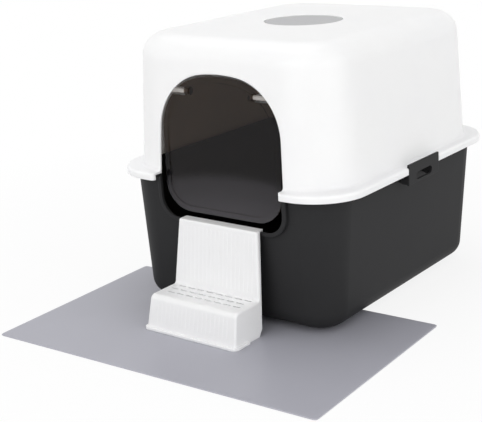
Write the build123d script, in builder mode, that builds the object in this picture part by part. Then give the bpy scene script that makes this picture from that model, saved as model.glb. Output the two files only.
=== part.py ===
from build123d import *

import os
from math import atan2, cos, degrees, radians, sin, sqrt, tan

# Covered litter box, in millimetres. The floor is at Z = 0 and the entrance faces -Y.
# The origin is on the floor under the middle of the pan.

# Hood: flange with its hanging skirt, drafted walls and flat roof
flange_w = 420.0
flange_d = 507.6
flange_r = 79.0
flange_edge_r = 4.0
flange_end_r = 6.0
skirt_bottom_z = 210.0
skirt_h = 10.8
ledge_w = 16.7
ledge_rear_w = 19.5
ledge_root_r = 5.0
hood_r = 88.0
hood_draft = 4.0
hood_front_draft = 2.5
hood_wall = 3.0
roof_z = 425.0
roof_edge_r = 35.5

# Entrance arch through the hood's front wall and flange
arch_half_w = 110.0
arch_shoulder_r = 90.0
arch_crown_r = 240.0
arch_top_z = 376.0
arch_lean = 2.6
arch_cut_d = 70.0

# Round filter well in the roof, with air slots in its floor
well_r = 62.0
well_depth = 10.5
well_wall = 2.5
well_floor = 2.5
well_slot_count = 8
well_slot_l = 30.0
well_slot_w = 7.0
well_slot_ring_r = 36.0
pad_gap = 0.5
pad_t = 10.0
pad_edge_r = 1.0

# Pan: flared walls, round lower edge, rim lip and a sunk field that it stands on
pan_inset = 19.7
pan_taper = 3.45
pan_wall = 3.0
pan_base_r = 44.0
pan_edge_r = 27.5
pan_bottom_z = 5.8
rim_lip_h = 3.0
rim_lip_gap = 1.0
field_w = 270.0
field_d = 272.0
field_r = 40.0
field_y = 46.0
field_edge_r = 1.5

# U-shaped entry in the pan's front wall, with a raised hollow bead around it
sill_z = 153.0
entry_half_w = 111.0
entry_r = 29.0
entry_cut_d = 30.0
bead_w = 6.5
bead_h = 6.5
bead_t = 2.2
bead_edge_r = 2.0

# Side latches: a plate in a pocket of the skirt, on two lugs of the pan
latch_half_w = 47.5
latch_t = 3.5
latch_h = 31.6
latch_over = 3.6
latch_edge_r = 1.0
latch_below_axis = 6.0
latch_gap = 1.0
latch_window_w = 50.0
latch_window_h = 12.0
latch_window_up = 4.2
latch_stand = 10.0
latch_pin_r = 2.5
latch_pin_gap = 0.05
lug_y = 36.5
lug_t = 7.0
lug_r = 5.2
lug_mouth_w = 4.3
knuckle_r = 4.8
knuckle_gap = 0.5
knuckle_inner_w = 7.0

# Swing flap and its hinge pins
flap_gap = 3.5
flap_t = 2.5
flap_rim_w = 8.5
flap_rim_h = 1.4
flap_sill_gap = 10.5
flap_corner_r = 45.0
flap_ahead = 2.7
hinge_drop = 28.5
hinge_back = 5.8
ear_x = 61.5
ear_w = 7.0
ear_r = 6.5
ear_pin_gap = 0.08
ear_slot_h = 12.5
pin_r = 4.0
pin_fit = 0.02
pin_inset = 2.0
pin_tip_r = 1.2
boss_r = 5.5
boss_w = 18.0
boss_end = 3.0

# Mat that lies under the step and the front of the pan
mat_w = 554.0
mat_d = 346.0
mat_t = 2.0
mat_r = 4.5
mat_x = 11.0
mat_turn = 1.8
mat_field_gap = 12.0

# Hook-on entry step
step_wall = 2.2
step_top_half_w = 72.7
step_flare = 10.3
step_standoff = 11.2
step_rear_gap = 3.3
riser_lean = 10.2
tread_z = 54.3
tread_d = 56.4
front_lean = 10.0
rear_lean = 17.0
rear_foot_z = 12.0
rear_foot_cut = 8.0
step_round_r = 9.0
step_root_r = 4.0
step_top_r = 3.0
step_side_r = 3.4
foot_flange_w = 3.5
foot_flange_t = 4.0
foot_flange_d = 35.0
foot_flange_r = 9.0
step_lip_t = 2.7
step_lip_inset = 1.7
hook_gap = 2.4
hook_t = 1.8
hook_h = 1.3
rib_count = 18
rib_pitch = 7.6
rib_w = 3.0
rib_h = 0.25
rib_end_r = 1.2
rib_margin = 9.0
tread_slot_rows = 3
tread_slot_count = 8
tread_slot_pitch = 17.5
tread_slot_l = 14.5
tread_slot_w = 3.2
tread_row_pitch = 13.8
tread_row_shift = 2.0
tread_rows_back = 8.5

# Heights and outlines that follow from the sizes above
ledge_z = skirt_bottom_z + skirt_h
rim_z = ledge_z - hood_wall
hood_slope = tan(radians(hood_draft))
hood_front_slope = tan(radians(hood_front_draft))
pan_slope = tan(radians(pan_taper))
floor_in_z = pan_bottom_z + pan_wall


def pan_half_w(z):
    """Half width of the pan's outer wall at a height."""
    return flange_w / 2 - pan_inset + pan_slope * (z - skirt_bottom_z)


def pan_half_d(z):
    """Half depth of the pan's outer wall at a height."""
    return flange_d / 2 - pan_inset + pan_slope * (z - skirt_bottom_z)


def hood_front_y(z):
    """Outer face of the hood's front wall at a height."""
    return hood_front_slope * (z - ledge_z) - flange_d / 2 + ledge_w


def hood_section(z, inset):
    """Outline of the hood's walls at a height, drawn in by an inset."""
    shrink = hood_slope * (z - ledge_z) + inset
    front_y = hood_front_y(z) + inset
    rear_y = flange_d / 2 - ledge_rear_w - shrink
    with BuildSketch(Plane.XY.offset(z)) as section:
        with Locations((0, (front_y + rear_y) / 2)):
            RectangleRounded(flange_w - 2 * (ledge_w + shrink), rear_y - front_y, hood_r - shrink)
    return section.sketch


# Centres of the arch's shoulders and crown, and the angle where they meet
shoulder_x = arch_half_w - arch_shoulder_r
crown_z = arch_top_z - arch_crown_r
shoulder_z = crown_z + sqrt((arch_crown_r - arch_shoulder_r) ** 2 - shoulder_x**2)
turn = degrees(atan2(shoulder_z - crown_z, shoulder_x))


def arch_edge_x(z):
    """Half width of the entrance at a height on its shoulders."""
    return shoulder_x + sqrt(arch_shoulder_r**2 - (z - shoulder_z) ** 2)


def arch_foot_x(shoulder_r, foot_z, lean):
    """Half width at the foot of an arch whose sides lean outwards by an angle."""
    slant = radians(lean)
    return shoulder_x + shoulder_r / cos(slant) + (shoulder_z - foot_z) * tan(slant)


def arch(inset, foot_z, lean):
    """Entrance outline, drawn in by an inset: leaning sides, round shoulders and a flatter crown."""
    shoulder_r = arch_shoulder_r - inset
    crown_r = arch_crown_r - inset
    foot_x = arch_foot_x(shoulder_r, foot_z, lean)
    with BuildSketch() as outline:
        with BuildLine():
            right = CenterArc((shoulder_x, shoulder_z), shoulder_r, lean, turn - lean)
            CenterArc((0, crown_z), crown_r, turn, 180 - 2 * turn)
            left = CenterArc((-shoulder_x, shoulder_z), shoulder_r, 180 - turn, turn - lean)
            Polyline(left @ 1, (-foot_x, foot_z), (foot_x, foot_z), right @ 0)
        make_face()
    return outline.sketch


def entry(margin, height):
    """U-shaped entry outline above its sill at 0, grown by a margin."""
    with BuildSketch() as outline:
        with Locations((0, -margin)):
            Rectangle(2 * (entry_half_w + margin), height + margin, align=(Align.CENTER, Align.MIN))
        fillet(outline.vertices().group_by(Axis.Y)[0], entry_r + margin)
    return outline.sketch


# The flap's hinge axis runs along X, just behind the front face of the hood's wall
hinge_z = arch_top_z - hinge_drop
hinge_y = hood_front_y(hinge_z) + hinge_back
flap_y = hinge_y - flap_ahead
boss_x = arch_edge_x(hinge_z + boss_r)
pin_end_x = boss_x + boss_w - boss_end

# The latch turns about an axis along Y, in front of the pan's wall and behind its plate
latch_face_x = flange_w / 2
latch_x = latch_face_x - latch_stand
latch_top_z = ledge_z + latch_over
latch_z = latch_top_z - latch_h + latch_below_axis
pocket_d = latch_t + latch_gap
pocket_half_w = latch_half_w + latch_gap


def lug_centres(x):
    """Places of the pan's four latch lugs, at a distance from the middle."""
    return [(side * x, y, latch_z) for side in (-1, 1) for y in (-lug_y, lug_y)]


# Floor of the filter well, at the middle of the roof
roof_middle_y = (hood_front_y(roof_z) + flange_d / 2 - ledge_rear_w - hood_slope * (roof_z - ledge_z)) / 2
well_plane = Plane((0, roof_middle_y, roof_z - well_depth))

# End of the flange beside the entrance
flange_end_x = arch_foot_x(arch_shoulder_r, skirt_bottom_z, arch_lean)

# Pan
with BuildPart() as pan_void:
    with BuildSketch(Plane.XY.offset(floor_in_z)):
        RectangleRounded(
            2 * (pan_half_w(floor_in_z) - pan_wall),
            2 * (pan_half_d(floor_in_z) - pan_wall),
            pan_base_r - pan_wall,
        )
    extrude(amount=ledge_z - floor_in_z, taper=-pan_taper)
    fillet(pan_void.faces().sort_by(Axis.Z)[0].edges(), pan_edge_r - pan_wall)

sill_y = -pan_half_d(sill_z)
bead_plane = Plane(
    origin=(0, sill_y, sill_z),
    x_dir=(1, 0, 0),
    z_dir=(0, -cos(radians(pan_taper)), -sin(radians(pan_taper))),
)
with BuildPart() as bead:
    with BuildSketch(bead_plane.offset(-pan_wall / 2)):
        add(entry(bead_w, rim_z - rim_lip_h - sill_z))
    extrude(amount=pan_wall / 2 + bead_h)
    fillet(bead.faces().sort_by(Axis(bead_plane.origin, bead_plane.z_dir))[-1].edges(), bead_edge_r)

with BuildPart() as pan:
    with BuildSketch(Plane.XY.offset(pan_bottom_z)):
        RectangleRounded(2 * pan_half_w(pan_bottom_z), 2 * pan_half_d(pan_bottom_z), pan_base_r)
    extrude(amount=rim_z - pan_bottom_z, taper=-pan_taper)
    fillet(pan.faces().sort_by(Axis.Z)[0].edges(), pan_edge_r)
    # Lip around the rim, with room for the hood's flange ends beside the entry and for its latch pockets
    lip_inset = hood_wall + rim_lip_gap
    with BuildSketch(Plane.XY.offset(rim_z - rim_lip_h)):
        RectangleRounded(flange_w - 2 * lip_inset, flange_d - 2 * lip_inset, flange_r - lip_inset)
        with Locations((0, -flange_d / 2)):
            Rectangle(
                2 * (flange_end_x + flange_end_r + rim_lip_gap),
                flange_d - 2 * pan_half_d(rim_z),
                mode=Mode.SUBTRACT,
            )
        with Locations((-flange_w / 2, 0), (flange_w / 2, 0)):
            Rectangle(2 * (pocket_d + lip_inset), 2 * (pocket_half_w + lip_inset), mode=Mode.SUBTRACT)
    extrude(amount=rim_lip_h)
    # Sunk field that stands on the floor
    with BuildSketch():
        with Locations((0, field_y)):
            RectangleRounded(field_w, field_d, field_r)
    extrude(amount=floor_in_z)
    fillet(pan.faces().sort_by(Axis.Z)[0].edges(), field_edge_r)
    add(bead.part)
    # Latch lugs on both sides
    with Locations(*lug_centres(latch_x)):
        Cylinder(lug_r, lug_t, rotation=(90, 0, 0))
    lug_root = latch_x - pan_half_w(latch_z - lug_r) + pan_wall / 2
    with Locations(*lug_centres(latch_x - lug_root / 2)):
        Box(lug_root, lug_t, 2 * lug_r)
    # Hollow inside, sunk floor, entry, hollow of the bead and the snap-in pin seats of the lugs
    add(pan_void.part, mode=Mode.SUBTRACT)
    with BuildSketch(Plane.XY.offset(pan_wall)):
        with Locations((0, field_y)):
            RectangleRounded(field_w - 2 * pan_wall, field_d - 2 * pan_wall, field_r - pan_wall)
    extrude(amount=pan_bottom_z, mode=Mode.SUBTRACT)
    with BuildSketch(Plane(origin=(0, sill_y, sill_z), x_dir=(1, 0, 0), z_dir=(0, -1, 0))):
        add(entry(0, ledge_z - sill_z))
    extrude(amount=entry_cut_d, both=True, mode=Mode.SUBTRACT)
    with BuildSketch(bead_plane.offset(bead_h - bead_t)):
        add(entry(bead_w - bead_t, ledge_z - sill_z))
    extrude(amount=-entry_cut_d, mode=Mode.SUBTRACT)
    with Locations(*lug_centres(latch_x)):
        Cylinder(latch_pin_r + latch_pin_gap, lug_t, rotation=(90, 0, 0), mode=Mode.SUBTRACT)
        Box(lug_mouth_w, lug_t, lug_r, align=(Align.CENTER, Align.CENTER, Align.MAX), mode=Mode.SUBTRACT)

# Hood
with BuildPart() as hood_void:
    loft([hood_section(rim_z, hood_wall), hood_section(roof_z - hood_wall, hood_wall)], ruled=True)
    fillet(hood_void.faces().sort_by(Axis.Z)[-1].edges(), roof_edge_r - hood_wall)

with BuildPart() as hood:
    with BuildSketch(Plane.XY.offset(skirt_bottom_z)):
        RectangleRounded(flange_w, flange_d, flange_r)
    extrude(amount=skirt_h)
    fillet(hood.faces().sort_by(Axis.Z)[-1].edges(), flange_edge_r)
    loft([hood_section(ledge_z, 0), hood_section(roof_z, 0)], ruled=True)
    fillet(hood.faces().sort_by(Axis.Z)[-1].edges(), roof_edge_r)
    ledge = hood.faces().filter_by(Plane.XY).sort_by(Axis.Z)[1]
    fillet(ledge.inner_wires()[0].edges(), ledge_root_r)
    # Room for the pan's rim under the flange, around the latch pockets and the solid flange ends
    with BuildSketch(Plane.XY.offset(skirt_bottom_z)):
        RectangleRounded(flange_w - 2 * hood_wall, flange_d - 2 * hood_wall, flange_r - hood_wall)
        with Locations((-flange_w / 2, 0), (flange_w / 2, 0)):
            Rectangle(2 * (pocket_d + hood_wall), 2 * (pocket_half_w + hood_wall), mode=Mode.SUBTRACT)
        with Locations((0, -flange_d / 2)):
            Rectangle(2 * (flange_end_x + flange_end_r), 2 * flange_end_r, mode=Mode.SUBTRACT)
    extrude(amount=skirt_h - hood_wall, mode=Mode.SUBTRACT)
    add(hood_void.part, mode=Mode.SUBTRACT)
    # Filter well
    with BuildSketch(well_plane.offset(-well_floor)):
        Circle(well_r + well_wall)
    extrude(amount=well_depth + well_floor)
    with BuildSketch(well_plane):
        Circle(well_r)
    extrude(amount=well_depth, mode=Mode.SUBTRACT)
    with BuildSketch(well_plane.offset(-well_floor)):
        with PolarLocations(well_slot_ring_r, well_slot_count):
            SlotOverall(well_slot_l, well_slot_w)
    extrude(amount=well_floor, mode=Mode.SUBTRACT)
    # Hinge pin bosses, then the arch and the pin seats
    for side in (-1, 1):
        with BuildSketch(Plane.YZ.offset(side * boss_x)):
            with Locations((hinge_y, hinge_z)):
                Circle(boss_r)
        extrude(amount=side * boss_w)
    with BuildSketch(Plane.XZ.offset(flange_d / 2 - arch_cut_d)):
        add(arch(0, skirt_bottom_z, arch_lean))
    extrude(amount=arch_cut_d, mode=Mode.SUBTRACT)
    for side in (-1, 1):
        with BuildSketch(Plane.YZ.offset(side * ear_x)):
            with Locations((hinge_y, hinge_z)):
                Circle(pin_r + pin_fit)
        extrude(amount=side * (pin_end_x - ear_x), mode=Mode.SUBTRACT)
    # Rounded flange ends beside the entrance
    for side in (-1, 1):
        with BuildSketch(Plane.XY.offset(skirt_bottom_z)):
            with Locations((side * flange_end_x, -flange_d / 2)):
                Rectangle(2 * flange_end_r, 2 * flange_end_r)
            with Locations((side * (flange_end_x + flange_end_r), flange_end_r - flange_d / 2)):
                Circle(flange_end_r, mode=Mode.SUBTRACT)
        extrude(amount=skirt_h, mode=Mode.SUBTRACT)
    # Latch pockets
    with Locations((-flange_w / 2, 0, skirt_bottom_z), (flange_w / 2, 0, skirt_bottom_z)):
        Box(
            2 * pocket_d,
            2 * pocket_half_w,
            skirt_h,
            align=(Align.CENTER, Align.CENTER, Align.MIN),
            mode=Mode.SUBTRACT,
        )

# Swing flap, hanging on its two ears
flap_foot_z = sill_z + flap_sill_gap
with BuildPart() as flap:
    with BuildSketch(Plane.XZ.offset(-flap_y - flap_t / 2)):
        add(arch(flap_gap, flap_foot_z, 0))
        outline = fillet(vertices().group_by(Axis.Y)[0], flap_corner_r)
    extrude(amount=flap_t)
    with BuildSketch(Plane.XZ.offset(-flap_y + flap_t / 2)):
        add(outline)
        offset(amount=-flap_rim_w, mode=Mode.SUBTRACT)
    extrude(amount=flap_rim_h)
    for side in (-1, 1):
        with Locations((side * ear_x, hinge_y, hinge_z)):
            Box(
                arch_half_w,
                2 * ear_r,
                ear_slot_h,
                align=(Align.MIN if side > 0 else Align.MAX, Align.CENTER, Align.CENTER),
                mode=Mode.SUBTRACT,
            )
        with BuildSketch(Plane.YZ.offset(side * (ear_x - ear_w))):
            with Locations((hinge_y, hinge_z)):
                Circle(ear_r)
        extrude(amount=side * ear_w)
        with BuildSketch(Plane.YZ.offset(side * (ear_x - ear_w))):
            with Locations((hinge_y, hinge_z)):
                Circle(pin_r + ear_pin_gap)
        extrude(amount=side * ear_w, mode=Mode.SUBTRACT)

# Hinge pins, pressed into the hood's bosses
with BuildPart() as flap_pin_right:
    with BuildSketch(Plane.YZ.offset(ear_x - ear_w + pin_inset)):
        with Locations((hinge_y, hinge_z)):
            Circle(pin_r)
    extrude(amount=pin_end_x - ear_x + ear_w - pin_inset)
    fillet(flap_pin_right.edges().filter_by(GeomType.CIRCLE), pin_tip_r)

with BuildPart() as flap_pin_left:
    mirror(flap_pin_right.part, about=Plane.YZ)

# Side latches
with BuildPart() as latch_right:
    plate_back_x = latch_face_x - latch_t
    with BuildSketch(Plane.YZ.offset(plate_back_x)):
        with Locations((0, latch_top_z)):
            Rectangle(2 * latch_half_w, latch_h, align=(Align.CENTER, Align.MAX))
        with Locations((0, latch_z + latch_window_up)):
            SlotOverall(latch_window_w, latch_window_h, mode=Mode.SUBTRACT)
    extrude(amount=latch_t)
    fillet(latch_right.faces().sort_by(Axis.X)[-1].outer_wire().edges(), latch_edge_r)
    knuckle_outer_y = lug_y + lug_t / 2 + knuckle_gap
    knuckle_inner_y = lug_y - lug_t / 2 - knuckle_gap
    latch_pin_y = knuckle_inner_y - knuckle_inner_w
    for side in (-1, 1):
        for near_y, far_y in ((latch_pin_y, knuckle_inner_y), (knuckle_outer_y, latch_half_w)):
            with BuildSketch(Plane.XZ.offset(-side * near_y)):
                with Locations((latch_x, latch_z)):
                    Circle(knuckle_r)
                    Rectangle(plate_back_x - latch_x, 2 * knuckle_r, align=(Align.MIN, Align.CENTER))
            extrude(amount=-side * (far_y - near_y))
        with BuildSketch(Plane.XZ.offset(-side * latch_pin_y)):
            with Locations((latch_x, latch_z)):
                Circle(latch_pin_r)
        extrude(amount=-side * (latch_half_w - latch_pin_y))

with BuildPart() as latch_left:
    mirror(latch_right.part, about=Plane.YZ)

# Hook-on entry step
step_foot_half_w = step_top_half_w + step_flare
step_lip_half_w = step_top_half_w - step_lip_inset
step_lip_z = sill_z + step_lip_t
riser_top_y = sill_y - bead_h - step_standoff
riser_foot_y = riser_top_y - riser_lean
tread_front_y = riser_foot_y - tread_d
foot_front_y = tread_front_y - front_lean
rear_top_y = sill_y - bead_h - step_rear_gap
rear_foot_y = rear_top_y - rear_lean

slant_min = sin(radians(1))
riser_angle = atan2(riser_lean, step_lip_z - tread_z)
front_angle = atan2(front_lean, tread_z - mat_t)


def rear_y(z):
    """Rear edge of the step's cheeks at a height."""
    return rear_top_y - rear_lean * (step_lip_z - z) / (step_lip_z - rear_foot_z)


def is_round_edge(edge):
    """True for the cheek edges along the front, the tread, the riser and the top."""
    middle = edge.center()
    return middle.Z > rear_foot_z and middle.Y < rear_y(middle.Z) - step_wall / 2


def is_open_side(face):
    """True for the step's underside and its rear faces, which look down or back at the pan."""
    normal = face.normal_at()
    return normal.Z < -slant_min or normal.Y > slant_min


with BuildPart() as entry_step:
    with BuildSketch(Plane.YZ.offset(-step_foot_half_w)) as side_view:
        with BuildLine():
            Polyline(
                (foot_front_y, mat_t),
                (tread_front_y, tread_z),
                (riser_foot_y, tread_z),
                (riser_top_y, step_lip_z),
                (rear_top_y, step_lip_z),
                (rear_foot_y, rear_foot_z),
                (rear_foot_y - rear_foot_cut, mat_t),
                close=True,
            )
        make_face()
        fillet(side_view.vertices().group_by(Axis.Y)[2].sort_by(Axis.X)[-1], step_root_r)
        fillet(side_view.vertices().group_by(Axis.Y)[2].sort_by(Axis.X)[0], step_round_r)
        fillet(side_view.vertices().group_by(Axis.Y)[-1].sort_by(Axis.X)[0], step_top_r)
    extrude(amount=2 * step_foot_half_w)
    with BuildSketch(Plane.XZ.offset(-rear_top_y)):
        with BuildLine():
            Polyline(
                (-step_foot_half_w, mat_t),
                (-step_top_half_w, step_lip_z),
                (step_top_half_w, step_lip_z),
                (step_foot_half_w, mat_t),
                close=True,
            )
        make_face()
    extrude(amount=rear_top_y - foot_front_y, mode=Mode.INTERSECT)
    cheeks = entry_step.faces().sort_by(Axis.X)
    fillet((cheeks[0].edges() + cheeks[-1].edges()).filter_by(is_round_edge), step_side_r)
    # Thin shell, open below and behind
    open_sides = entry_step.faces().filter_by(is_open_side)
    offset(amount=-step_wall, openings=open_sides)
    # Flared foot around the front
    foot_half_w = step_foot_half_w + foot_flange_w
    with BuildSketch(Plane.XY.offset(mat_t)) as foot:
        with Locations((0, foot_front_y - foot_flange_w)):
            Rectangle(2 * foot_half_w, foot_flange_d, align=(Align.CENTER, Align.MIN))
        fillet(foot.vertices().group_by(Axis.Y)[0], foot_flange_r)
        with Locations((0, foot_front_y + step_wall)):
            Rectangle(
                2 * (step_foot_half_w - step_wall),
                foot_flange_d,
                align=(Align.CENTER, Align.MIN),
                mode=Mode.SUBTRACT,
            )
    extrude(amount=foot_flange_t)
    # Lip over the sill and the hook behind it
    hook_front_y = sill_y - bead_h + bead_t + hook_gap
    hook_back_y = hook_front_y + hook_t
    with BuildSketch(Plane.XY.offset(sill_z)):
        with Locations((0, riser_top_y + step_top_r)):
            Rectangle(
                2 * step_lip_half_w,
                hook_back_y - riser_top_y - step_top_r,
                align=(Align.CENTER, Align.MIN),
            )
    extrude(amount=step_lip_t)
    with BuildSketch(Plane.XY.offset(sill_z - hook_h)):
        with Locations((0, hook_front_y)):
            Rectangle(2 * step_lip_half_w, hook_t, align=(Align.CENTER, Align.MIN))
    extrude(amount=hook_h)
    # Grip ribs on the riser and on the front
    for foot_y, foot_z, top_z, angle in (
        (riser_foot_y, tread_z, step_lip_z, riser_angle),
        (foot_front_y + foot_flange_t * tan(front_angle), mat_t + foot_flange_t, tread_z, front_angle),
    ):
        face = Plane(origin=(0, foot_y, foot_z), x_dir=(1, 0, 0), z_dir=(0, -cos(angle), sin(angle)))
        slant = (top_z - foot_z) / cos(angle)
        with BuildSketch(face):
            with Locations((0, slant / 2)):
                with GridLocations(rib_pitch, 0, rib_count, 1):
                    RectangleRounded(rib_w, slant - 2 * rib_margin, rib_end_r)
        extrude(amount=rib_h)
    # Rows of slots in the tread
    rows_y = (riser_foot_y + tread_front_y) / 2 + tread_rows_back
    with BuildSketch(Plane.XY.offset(tread_z)):
        for row in range(tread_slot_rows):
            row_y = rows_y + (row - (tread_slot_rows - 1) / 2) * tread_row_pitch
            with Locations(((-1) ** row * tread_row_shift, row_y)):
                with GridLocations(tread_slot_pitch, 0, tread_slot_count, 1):
                    SlotOverall(tread_slot_l, tread_slot_w)
    extrude(amount=-step_wall, mode=Mode.SUBTRACT)

# Mat on the floor
mat_back_y = field_y - field_d / 2 - mat_field_gap
with BuildPart() as litter_mat:
    with BuildSketch():
        with Locations((mat_x, mat_back_y - mat_d / 2)):
            RectangleRounded(mat_w, mat_d, mat_r, rotation=mat_turn)
    extrude(amount=mat_t)

# Filter pad in the roof
with BuildPart() as filter_pad:
    with BuildSketch(well_plane):
        Circle(well_r - pad_gap)
    extrude(amount=pad_t)
    fillet(filter_pad.faces().sort_by(Axis.Z)[-1].edges(), pad_edge_r)

os.makedirs("parts", exist_ok=True)
for name, node in (
    ("pan", pan),
    ("hood", hood),
    ("flap", flap),
    ("flap_pin_left", flap_pin_left),
    ("flap_pin_right", flap_pin_right),
    ("latch_left", latch_left),
    ("latch_right", latch_right),
    ("entry_step", entry_step),
    ("litter_mat", litter_mat),
    ("filter_pad", filter_pad),
):
    node.part.label = name
    export_step(node.part, f"parts/{name}.step")
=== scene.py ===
# %% [markdown]
# # A covered litter box, dressed in Blender
# The box is a handful of plastic mouldings: a black pan, a white hood with a smoked swing flap, two side
# clips and a hook-on step, with a grey mat under its front and a felt pad in its roof. Their shapes and
# joints come from the CAD model, which is loaded first and never moved. This lesson adds the finishes, the
# two soft pieces and a plain studio.

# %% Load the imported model
import math

import bmesh
import bpy
from mathutils import Matrix, Vector, noise


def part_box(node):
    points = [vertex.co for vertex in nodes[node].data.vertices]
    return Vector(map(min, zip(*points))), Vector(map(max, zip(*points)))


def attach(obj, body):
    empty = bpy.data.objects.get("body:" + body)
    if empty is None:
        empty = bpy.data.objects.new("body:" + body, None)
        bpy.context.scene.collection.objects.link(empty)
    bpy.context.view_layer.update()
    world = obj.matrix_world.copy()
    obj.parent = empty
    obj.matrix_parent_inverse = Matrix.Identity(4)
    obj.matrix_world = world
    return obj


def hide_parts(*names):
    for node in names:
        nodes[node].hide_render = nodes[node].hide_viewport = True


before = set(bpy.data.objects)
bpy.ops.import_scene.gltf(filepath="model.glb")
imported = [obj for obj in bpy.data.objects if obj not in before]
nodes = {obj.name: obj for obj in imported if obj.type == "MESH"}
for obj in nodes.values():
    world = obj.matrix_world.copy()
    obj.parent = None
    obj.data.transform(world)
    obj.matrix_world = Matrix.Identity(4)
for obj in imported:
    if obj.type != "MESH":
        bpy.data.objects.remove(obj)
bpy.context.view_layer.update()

# %% [markdown]
# ## Helpers
# All lengths in the scene are metres, while grain and fibre are talked about in millimetres, so `mm` keeps
# the numbers readable. Colours are written as sRGB hex codes, as a paint shop would, and shaders want them
# linear. A finish could be put together by hand in the shader editor, but a script can be read and run
# again, so one function adds a shader node: its options, the values of its sockets and the links that
# feed it.

# %% Units, colours and shader nodes
mm = 0.001


def srgb(hex_code):
    """Linear RGBA of an sRGB hex colour such as #F6F6F8."""
    channels = [int(hex_code[i : i + 2], 16) / 255 for i in (1, 3, 5)]
    linear = [c / 12.92 if c <= 0.04045 else ((c + 0.055) / 1.055) ** 2.4 for c in channels]
    return (*linear, 1.0)


def add_node(tree, kind, options=None, values=None, links=None):
    """Adds one shader node with its options, socket values and incoming links."""
    made = tree.nodes.new(kind)
    for name, option in (options or {}).items():
        setattr(made, name, option)
    for socket, value in (values or {}).items():
        made.inputs[socket].default_value = value
    for socket, output in (links or {}).items():
        tree.links.new(output, made.inputs[socket])
    return made


print("middle grey in linear light:", round(srgb("#808080")[0], 3))

# %% [markdown]
# ## Camera
# The picture was taken from the front right, a little above the box, with a longish lens. The angles and
# the distance below were fitted to the outline of the box, so the camera is placed by numbers rather than
# by eye. The camera's matrix is built from its right, up and back directions.

# %% Camera at the photograph's angle
image_width = 482
focal_pixels = 1137.7
camera_yaw = math.radians(37.26)
camera_pitch = math.radians(16.79)
camera_roll = math.radians(-2.585)
camera_place = Vector((0.9964, -1.4976, 0.6578))

level_right = Vector((math.cos(camera_yaw), math.sin(camera_yaw), 0))
forward = Vector(
    (
        -math.sin(camera_yaw) * math.cos(camera_pitch),
        math.cos(camera_yaw) * math.cos(camera_pitch),
        -math.sin(camera_pitch),
    )
)
level_up = level_right.cross(forward)
camera_right = level_right * math.cos(camera_roll) + level_up * math.sin(camera_roll)
camera_up = level_up * math.cos(camera_roll) - level_right * math.sin(camera_roll)
camera_turn = Matrix((camera_right, camera_up, -forward)).transposed()

camera = bpy.data.objects.new("camera", bpy.data.cameras.new("camera"))
camera.data.sensor_width = 36.0
camera.data.lens = camera.data.sensor_width * focal_pixels / image_width
camera.matrix_world = Matrix.Translation(camera_place) @ camera_turn.to_4x4()
bpy.context.scene.collection.objects.link(camera)
bpy.context.scene.camera = camera
print("lens:", round(camera.data.lens, 1), "mm")

# %% [markdown]
# ## Finishes
# Each finish starts as an empty material, and goes all over the pieces that were moulded from the same stuff.

# %% Materials and pieces
def new_material(name):
    """An empty material and its node tree."""
    material = bpy.data.materials.new(name)
    material.use_nodes = True
    material.node_tree.nodes.clear()
    return material, material.node_tree


def dress(material, *pieces):
    """Gives pieces one material all over, and says which."""
    for piece in pieces:
        piece.data.materials.clear()
        piece.data.materials.append(material)
    print(material.name, "on", ", ".join(piece.name for piece in pieces))


print("pieces to dress:", len(nodes))

# %% [markdown]
# ## White polypropylene, injection moulded
# The hood and the step are white PP. A moulded face is smooth but not polished: it has a satin gloss, a
# very faint grain from the tool, and slow cloudy waves where the melt flowed. Both are drawn with noise,
# because neither repeats. A 3 mm wall of it isn't quite opaque either, so the inside of the hood is never
# dark. A share of the light could be let straight through with a translucent shader, but scattering under
# the skin gives the soft edges of the real plastic too.

# %% White PP for the hood and the step
# To the eye: a clean satin white, with broad soft highlights and edges that hardly darken.
# The tool's grain is some hundredths of a millimetre wide, too fine to show, so it is drawn coarser.
white_flow_size = 90 * mm
white_grain_size = 1.2 * mm
white_scatter = 2.5 * mm

white_pp, tree = new_material("white_pp_moulded")
place = add_node(tree, "ShaderNodeTexCoord")
flow = add_node(
    tree,
    "ShaderNodeTexNoise",
    values={"Scale": 1 / white_flow_size, "Detail": 2.0},
    links={"Vector": place.outputs["Object"]},
)
flow_colour = add_node(
    tree,
    "ShaderNodeMix",
    options={"data_type": "RGBA"},
    values={"A": srgb("#F3F3F5"), "B": srgb("#F8F8FA")},
    links={"Factor": flow.outputs["Fac"]},
)
grain = add_node(
    tree,
    "ShaderNodeTexNoise",
    values={"Scale": 1 / white_grain_size, "Detail": 3.0},
    links={"Vector": place.outputs["Object"]},
)
grain_bump = add_node(
    tree,
    "ShaderNodeBump",
    values={"Strength": 0.05, "Distance": 0.2 * mm},
    links={"Height": grain.outputs["Fac"]},
)
gloss = add_node(
    tree,
    "ShaderNodeMapRange",
    values={"To Min": 0.36, "To Max": 0.48},
    links={"Value": flow.outputs["Fac"]},
)
surface = add_node(
    tree,
    "ShaderNodeBsdfPrincipled",
    values={
        "IOR": 1.49,
        "Subsurface Weight": 1.0,
        "Subsurface Radius": (1.0, 1.0, 1.0),
        "Subsurface Scale": white_scatter,
    },
    links={
        "Base Color": flow_colour.outputs["Result"],
        "Roughness": gloss.outputs["Result"],
        "Normal": grain_bump.outputs["Normal"],
    },
)
add_node(tree, "ShaderNodeOutputMaterial", links={"Surface": surface.outputs["BSDF"]})
dress(white_pp, nodes["hood"], nodes["entry_step"])

# %% [markdown]
# ## Black polypropylene, spark-eroded grain
# The pan and the clips are black PP from a textured tool. The texture breaks up the reflections and
# swallows some of them in its pits, so the black looks charcoal in a white room, with less gloss than its
# IOR would give. The pits could be cut into the mesh, but they are far too small for that, so a fine noise
# gives the grain. Scratches from litter are left out on a new box.

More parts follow.
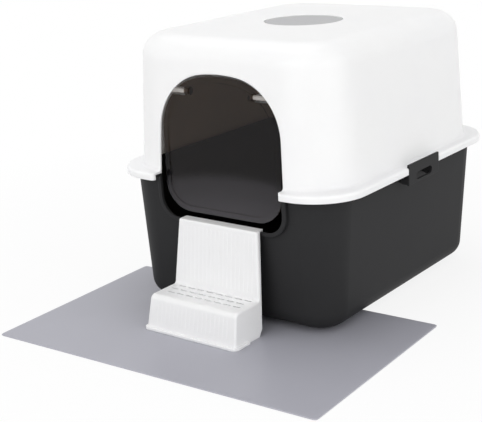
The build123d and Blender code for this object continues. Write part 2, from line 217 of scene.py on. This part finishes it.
# %% Black PP for the pan and the clips
# To the eye: an even charcoal with wide dull highlights.
# Eroded pits are about a tenth of a millimetre wide, too fine to show, so they are drawn coarser.
black_flow_size = 70 * mm
black_grain_size = 0.9 * mm

black_pp, tree = new_material("black_pp_textured")
place = add_node(tree, "ShaderNodeTexCoord")
flow = add_node(
    tree,
    "ShaderNodeTexNoise",
    values={"Scale": 1 / black_flow_size, "Detail": 3.0},
    links={"Vector": place.outputs["Object"]},
)
black_colour = add_node(
    tree,
    "ShaderNodeMix",
    options={"data_type": "RGBA"},
    values={"A": srgb("#2B2B2C"), "B": srgb("#2F2F30")},
    links={"Factor": flow.outputs["Fac"]},
)
grain = add_node(
    tree,
    "ShaderNodeTexNoise",
    values={"Scale": 1 / black_grain_size, "Detail": 4.0},
    links={"Vector": place.outputs["Object"]},
)
grain_bump = add_node(
    tree,
    "ShaderNodeBump",
    values={"Strength": 0.12, "Distance": 0.2 * mm},
    links={"Height": grain.outputs["Fac"]},
)
gloss = add_node(
    tree,
    "ShaderNodeMapRange",
    values={"To Min": 0.5, "To Max": 0.6},
    links={"Value": grain.outputs["Fac"]},
)
surface = add_node(
    tree,
    "ShaderNodeBsdfPrincipled",
    values={"IOR": 1.49, "Specular IOR Level": 0.1},
    links={
        "Base Color": black_colour.outputs["Result"],
        "Roughness": gloss.outputs["Result"],
        "Normal": grain_bump.outputs["Normal"],
    },
)
add_node(tree, "ShaderNodeOutputMaterial", links={"Surface": surface.outputs["BSDF"]})
dress(black_pp, nodes["pan"], nodes["latch_left"], nodes["latch_right"])

# %% [markdown]
# ## Smoked polycarbonate
# The flap is a clear sheet dyed smoky brown: the white inside of the hood shows through it as a dim brown,
# and the black pan as black. Its lower third is greyer, with a soft edge that bows down to both sides. That
# is a painted reflection of the lit floor, put into the colour of the sheet's skin, so it stays in its place
# from every side. The painted reflection follows the height, with the bow added to it.

# %% Painted floor reflection at the foot of the flap
# Painted reflection of the lit floor: the band where the flap's skin is painted lighter
painted_reflection_low = 165 * mm
painted_reflection_high = 243 * mm
painted_reflection_middle_x = 40 * mm
painted_reflection_bow = 0.9 / (1000 * mm)
# Shares of the height from low to high, with the skin's colour there: the painted floor reflection is
# lightest low down
skin_and_reflection_stops = ((0.0, "#505056"), (0.63, "#3E3E43"), (0.93, "#0E0E12"))

smoked_pc, tree = new_material("smoked_pc_polished")
place = add_node(tree, "ShaderNodeTexCoord")
spot = add_node(tree, "ShaderNodeSeparateXYZ", links={"Vector": place.outputs["Object"]})
aside = add_node(
    tree,
    "ShaderNodeMath",
    options={"operation": "SUBTRACT"},
    values={1: painted_reflection_middle_x},
    links={0: spot.outputs["X"]},
)
aside_squared = add_node(
    tree,
    "ShaderNodeMath",
    options={"operation": "MULTIPLY"},
    links={0: aside.outputs[0], 1: aside.outputs[0]},
)
bowed_height = add_node(
    tree,
    "ShaderNodeMath",
    options={"operation": "MULTIPLY_ADD"},
    values={1: painted_reflection_bow},
    links={0: aside_squared.outputs[0], 2: spot.outputs["Z"]},
)
# Where the painted floor reflection fades out, from the foot of the flap upwards
painted_reflection_zone = add_node(
    tree,
    "ShaderNodeMapRange",
    values={"From Min": painted_reflection_low, "From Max": painted_reflection_high},
    links={"Value": bowed_height.outputs[0]},
)
skin_and_painted_reflection = add_node(tree, "ShaderNodeValToRGB", links={"Fac": painted_reflection_zone.outputs["Result"]})
ramp = skin_and_painted_reflection.color_ramp
ramp.interpolation = "EASE"
ramp.elements.new(skin_and_reflection_stops[1][0])
for element, (position, colour) in zip(ramp.elements, skin_and_reflection_stops):
    element.position = position
    element.color = srgb(colour)
print("skin and reflection stops:", [round(element.position, 2) for element in ramp.elements])

# %% [markdown]
# Real refraction could be traced, but a thin flat sheet hardly bends the view, so a brown see-through share
# is mixed with a glossy skin. Light crosses two faces, so each face lets through about the square root of
# what the whole sheet does.

# %% Smoked sheet for the flap
# To the eye: a dark, half clear sheet with soft reflections that are a little blurred.
wipe_size = 25 * mm
skin_share = 0.5

wipe = add_node(
    tree,
    "ShaderNodeTexNoise",
    values={"Scale": 1 / wipe_size, "Detail": 3.0},
    links={"Vector": place.outputs["Object"]},
)
gloss = add_node(
    tree,
    "ShaderNodeMapRange",
    values={"To Min": 0.12, "To Max": 0.2},
    links={"Value": wipe.outputs["Fac"]},
)
# The skin's base colour carries the painted floor reflection at the flap's foot
skin = add_node(
    tree,
    "ShaderNodeBsdfPrincipled",
    values={"IOR": 1.58, "Specular IOR Level": 0.28},
    links={"Base Color": skin_and_painted_reflection.outputs["Color"], "Roughness": gloss.outputs["Result"]},
)
tint = add_node(tree, "ShaderNodeBsdfTransparent", values={"Color": srgb("#F6E8DA")})
sheet = add_node(
    tree,
    "ShaderNodeMixShader",
    values={0: skin_share},
    links={1: tint.outputs[0], 2: skin.outputs["BSDF"]},
)
add_node(tree, "ShaderNodeOutputMaterial", links={"Surface": sheet.outputs[0]})
dress(smoked_pc, nodes["flap"])

# %% [markdown]
# ## Natural polypropylene pins
# The two hinge pins are undyed plastic rod, turned to size, milky and a little see-through. Scattering would
# show the milk, but the pins are a few pixels long, so a cloudy colour and some transparency are enough.

# %% Milky plastic for the hinge pins
# To the eye: a pale, slightly warm grey that the dark behind it shines through.
cloud_size = 4 * mm

natural_pp, tree = new_material("natural_pp_turned")
place = add_node(tree, "ShaderNodeTexCoord")
cloud = add_node(
    tree,
    "ShaderNodeTexNoise",
    values={"Scale": 1 / cloud_size, "Detail": 2.0},
    links={"Vector": place.outputs["Object"]},
)
cloud_colour = add_node(
    tree,
    "ShaderNodeMix",
    options={"data_type": "RGBA"},
    values={"A": srgb("#A8A4A0"), "B": srgb("#C4C0BC")},
    links={"Factor": cloud.outputs["Fac"]},
)
surface = add_node(
    tree,
    "ShaderNodeBsdfPrincipled",
    values={"Roughness": 0.25, "IOR": 1.49, "Alpha": 0.75},
    links={"Base Color": cloud_colour.outputs["Result"]},
)
add_node(tree, "ShaderNodeOutputMaterial", links={"Surface": surface.outputs["BSDF"]})
dress(natural_pp, nodes["flap_pin_left"], nodes["flap_pin_right"])

# %% [markdown]
# ## The mat
# The mat is a thin grey sheet of foamed rubber, cut square and laid on the floor a little askew. A box would
# give its size, but not its slightly round corners or its dips of a fraction of a millimetre. Cloth
# simulation is the usual way to shape a drape, but a sheet that lies flat has nothing to drape over. So it is
# built as a fine grid, and a smooth noise moves the points a little.

# %% Mat grid
def uneven(point, size):
    """Smooth noise from about 0 to 1 at a point, with lumps of that size."""
    return 0.5 + 0.5 * noise.noise(point / size)


mat_low, mat_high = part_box("litter_mat")
mat_width = 554 * mm
mat_depth = 346 * mm
mat_turn = math.radians(1.8)
mat_corner_r = 4.5 * mm
mat_columns = 96
mat_rows = 60
mat_dip = 0.25 * mm
mat_ripple = 120 * mm

mat_middle = (mat_low + mat_high) / 2
corner_x = mat_width / 2 - mat_corner_r
corner_y = mat_depth / 2 - mat_corner_r
mat_mesh = bmesh.new()
# A grid with sides of 1, stretched to the mat's size below
bmesh.ops.create_grid(mat_mesh, x_segments=mat_columns, y_segments=mat_rows, size=0.5)
for vert in mat_mesh.verts:
    point = Vector((vert.co.x * mat_width, vert.co.y * mat_depth))
    inner = Vector((max(-corner_x, min(corner_x, point.x)), max(-corner_y, min(corner_y, point.y))))
    reach = point - inner
    if reach.length > mat_corner_r:
        point = inner + reach.normalized() * mat_corner_r
    point.rotate(Matrix.Rotation(mat_turn, 2))
    vert.co.x = mat_middle.x + point.x
    vert.co.y = mat_middle.y + point.y
    vert.co.z = mat_high.z - mat_dip * uneven(vert.co, mat_ripple)
print("mat points:", len(mat_mesh.verts))

# %% [markdown]
# The grid's border is drawn down to the floor and the underside is closed. A solidify modifier would do that
# too, but then the dips would show below as well. A bevel rounds the cut edge.

# %% Mat edge
def add_object(name, mesh):
    """A linked object made from a finished bmesh."""
    made = bpy.data.objects.new(name, bpy.data.meshes.new(name))
    mesh.to_mesh(made.data)
    mesh.free()
    bpy.context.scene.collection.objects.link(made)
    print(name, "faces:", len(made.data.polygons))
    return made


mat_edge = 0.8 * mm

rim = [edge for edge in mat_mesh.edges if edge.is_boundary]
skirt = bmesh.ops.extrude_edge_only(mat_mesh, edges=rim)["geom"]
for vert in (item for item in skirt if isinstance(item, bmesh.types.BMVert)):
    vert.co.z = mat_low.z
bmesh.ops.holes_fill(mat_mesh, edges=[edge for edge in mat_mesh.edges if edge.is_boundary])
bmesh.ops.recalc_face_normals(mat_mesh, faces=mat_mesh.faces)
mat = add_object("floor_mat", mat_mesh)
mat.data.shade_smooth()
soft_edge = mat.modifiers.new("soft_edge", "BEVEL")
soft_edge.width = mat_edge
soft_edge.segments = 3
soft_edge.limit_method = "ANGLE"

# %% [markdown]
# Its skin is matt, with a fine pebble that keeps litter from sliding. Modelled pebbles would need millions
# of faces, so they are drawn as cells in the bump.

# %% Foamed rubber for the mat
# To the eye: a soft, even grey that lightens where it mirrors the room at a low angle.
# The pebble of such a sheet is usually under a millimetre wide, and is drawn coarser, so that it shows.
shade_size = 140 * mm
pebble_size = 1.5 * mm

grey_rubber, tree = new_material("grey_rubber_pebbled")
place = add_node(tree, "ShaderNodeTexCoord")
shade = add_node(
    tree,
    "ShaderNodeTexNoise",
    values={"Scale": 1 / shade_size, "Detail": 2.0},
    links={"Vector": place.outputs["Object"]},
)
shade_colour = add_node(
    tree,
    "ShaderNodeMix",
    options={"data_type": "RGBA"},
    values={"A": srgb("#ABABB4"), "B": srgb("#B1B1BA")},
    links={"Factor": shade.outputs["Fac"]},
)
pebble = add_node(
    tree,
    "ShaderNodeTexVoronoi",
    values={"Scale": 1 / pebble_size},
    links={"Vector": place.outputs["Object"]},
)
pebble_bump = add_node(
    tree,
    "ShaderNodeBump",
    values={"Strength": 0.15, "Distance": 0.2 * mm},
    links={"Height": pebble.outputs["Distance"]},
)
surface = add_node(
    tree,
    "ShaderNodeBsdfPrincipled",
    values={"Roughness": 0.38, "IOR": 1.5, "Specular IOR Level": 0.3},
    links={"Base Color": shade_colour.outputs["Result"], "Normal": pebble_bump.outputs["Normal"]},
)
add_node(tree, "ShaderNodeOutputMaterial", links={"Surface": surface.outputs["BSDF"]})
dress(grey_rubber, mat)
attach(mat, "litter_mat")
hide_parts("litter_mat")

# %% [markdown]
# ## The filter pad
# A disc of grey needle felt lies in the round well of the roof, flush with it. A cylinder would have a hard
# edge, so the pad is turned from a profile: a flat underside, a soft rounded edge and a flat face.

# %% Profile of the felt disc
pad_low, pad_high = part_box("filter_pad")
pad_rings = 22
pad_edge_steps = 6
pad_edge_r = 2.5 * mm

pad_centre = (pad_low + pad_high) / 2
pad_r = (pad_high.x - pad_low.x) / 2
profile = [(pad_r, pad_low.z)]
for step in range(pad_edge_steps + 1):
    turn = math.radians(90 * step / pad_edge_steps)
    edge_r = pad_r - pad_edge_r * (1 - math.cos(turn))
    profile.append((edge_r, pad_high.z - pad_edge_r * (1 - math.sin(turn))))
for ring in range(1, pad_rings):
    profile.append(((pad_r - pad_edge_r) * (1 - ring / pad_rings), pad_high.z))
print("pad radius:", round(pad_r / mm, 1), "mm, profile points:", len(profile))

# %% [markdown]
# The profile's points become rings, joined by faces, and the noise lowers all but the underside a little.

# %% Felt disc
pad_sides = 96
pad_fuzz = 0.25 * mm
pad_lump = 7 * mm

angles = [2 * math.pi * side / pad_sides for side in range(pad_sides)]
pad_mesh = bmesh.new()
rings = []
for radius, height in profile:
    ring = []
    for angle in angles:
        x = pad_centre.x + radius * math.cos(angle)
        y = pad_centre.y + radius * math.sin(angle)
        ring.append(pad_mesh.verts.new((x, y, height)))
    rings.append(ring)
for outer, inner in zip(rings, rings[1:]):
    for side in range(pad_sides):
        after = (side + 1) % pad_sides
        pad_mesh.faces.new((outer[side], outer[after], inner[after], inner[side]))
pad_mesh.faces.new(rings[0])
pad_mesh.faces.new(rings[-1])
bmesh.ops.recalc_face_normals(pad_mesh, faces=pad_mesh.faces)
for ring in rings[1:]:
    for vert in ring:
        vert.co.z -= pad_fuzz * uneven(vert.co, pad_lump)
pad = add_object("felt_pad", pad_mesh)
pad.data.shade_smooth()

# %% [markdown]
# Needle felt scatters light in a mat of short fibres. Each could be a hair, but at this size they only read
# as a mottle, so one twisted noise gives both the colour and the bump.

# %% Needle felt
# To the eye: a dull, mottled grey with no highlight at all.
# Real fibres are a few hundredths of a millimetre thick. They are drawn as coarser tufts, so that they show.
tuft_size = 1.5 * mm

grey_felt, tree = new_material("grey_felt_needled")
place = add_node(tree, "ShaderNodeTexCoord")
fibre = add_node(
    tree,
    "ShaderNodeTexNoise",
    values={"Scale": 1 / tuft_size, "Detail": 6.0, "Roughness": 0.7, "Distortion": 1.5},
    links={"Vector": place.outputs["Object"]},
)
fibre_colour = add_node(
    tree,
    "ShaderNodeMix",
    options={"data_type": "RGBA"},
    values={"A": srgb("#AAAAAC"), "B": srgb("#B8B8BA")},
    links={"Factor": fibre.outputs["Fac"]},
)
fibre_bump = add_node(
    tree,
    "ShaderNodeBump",
    values={"Strength": 0.5, "Distance": 0.4 * mm},
    links={"Height": fibre.outputs["Fac"]},
)
surface = add_node(
    tree,
    "ShaderNodeBsdfPrincipled",
    values={"Roughness": 0.95, "IOR": 1.4, "Sheen Weight": 0.3},
    links={"Base Color": fibre_colour.outputs["Result"], "Normal": fibre_bump.outputs["Normal"]},
)
add_node(tree, "ShaderNodeOutputMaterial", links={"Surface": surface.outputs["BSDF"]})
dress(grey_felt, pad)
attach(pad, "filter_pad")
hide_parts("filter_pad")

# %% [markdown]
# ## Studio
# The box stands on a white floor in a white room. The floor is one large square, which belongs to the stage
# and not to the box.

# %% Floor
floor_side = 12.0

floor_mesh = bmesh.new()
bmesh.ops.create_grid(floor_mesh, x_segments=1, y_segments=1, size=floor_side / 2)
floor = add_object("floor", floor_mesh)

# %% [markdown]
# The floor's own shading keeps the soft shadow, and a share of plain white keeps the paper white. More light
# would do that too, but it would wash out the box. So the share goes only to rays that show the backdrop:
# those from the camera, off gloss and through clear plastic. It grows with the distance from the box, so that
# the paper has no edge.

# %% White paper for the floor
def backdrop_rays(tree):
    """Output that is 1 for rays that show the backdrop, and 0 for rays that light the box."""
    rays = add_node(tree, "ShaderNodeLightPath")
    seen = add_node(
        tree,
        "ShaderNodeMath",
        options={"operation": "MAXIMUM"},
        links={0: rays.outputs["Is Camera Ray"], 1: rays.outputs["Is Glossy Ray"]},
    )
    seen_through = add_node(
        tree,
        "ShaderNodeMath",
        options={"operation": "MAXIMUM"},
        links={0: seen.outputs[0], 1: rays.outputs["Is Transmission Ray"]},
    )
    return seen_through.outputs[0]


# To the eye: seamless white paper with a faint shadow around the box.
fade_start = 0.5
fade_end = 1.1
white_share_near = 0.85

white_paper, tree = new_material("white_paper_sweep")
place = add_node(tree, "ShaderNodeTexCoord")
distance = add_node(
    tree,
    "ShaderNodeVectorMath",
    options={"operation": "LENGTH"},
    links={0: place.outputs["Object"]},
)
faded = add_node(
    tree,
    "ShaderNodeMapRange",
    values={"From Min": fade_start, "From Max": fade_end, "To Min": white_share_near, "To Max": 1.0},
    links={"Value": distance.outputs["Value"]},
)
share = add_node(
    tree,
    "ShaderNodeMath",
    options={"operation": "MULTIPLY"},
    links={0: backdrop_rays(tree), 1: faded.outputs["Result"]},
)
paper = add_node(tree, "ShaderNodeBsdfDiffuse", values={"Color": srgb("#FCFCFC")})
glow = add_node(tree, "ShaderNodeEmission", values={"Color": srgb("#FFFFFF"), "Strength": 1.0})
sweep = add_node(
    tree,
    "ShaderNodeMixShader",
    links={0: share.outputs[0], 1: paper.outputs[0], 2: glow.outputs[0]},
)
add_node(tree, "ShaderNodeOutputMaterial", links={"Surface": sweep.outputs[0]})
dress(white_paper, floor)

# %% [markdown]
# Much of the light comes from the room itself, at a lower level than the white that shows.

# %% Room
room_light = 0.6

room = bpy.data.worlds.new("white_room")
bpy.context.scene.world = room
room.use_nodes = True
room.node_tree.nodes.clear()
tree = room.node_tree
level = add_node(
    tree,
    "ShaderNodeMapRange",
    values={"To Min": room_light, "To Max": 1.0},
    links={"Value": backdrop_rays(tree)},
)
air = add_node(
    tree,
    "ShaderNodeBackground",
    values={"Color": srgb("#FFFFFF")},
    links={"Strength": level.outputs[0]},
)
add_node(tree, "ShaderNodeOutputWorld", links={"Surface": air.outputs[0]})
print("room light:", room_light)

# %% [markdown]
# Three large soft lamps shape the box: one low in front, one low on the right and one above. Small lamps
# would draw hard shadows that a studio with white walls doesn't have.

# %% Lamps
box_middle = Vector((0, 0, 0.2))
lamp_side = 2.0
# Place in metres and power in watts
lamps = {
    "front": (Vector((0, -2.6, 0.7)), 21.5),
    "right": (Vector((2.6, -0.3, 0.7)), 20),
    "top": (Vector((-0.6, 0.1, 2.5)), 18),
}

for name, (lamp_place, watts) in lamps.items():
    lamp = bpy.data.objects.new(name, bpy.data.lights.new(name, "AREA"))
    lamp.data.shape = "SQUARE"
    lamp.data.size = lamp_side
    lamp.data.energy = watts
    aim = (box_middle - lamp_place).to_track_quat("-Z", "Y")
    lamp.matrix_world = Matrix.Translation(lamp_place) @ aim.to_matrix().to_4x4()
    bpy.context.scene.collection.objects.link(lamp)
bpy.context.scene.view_settings.view_transform = "Standard"
print("lamps:", list(lamps))
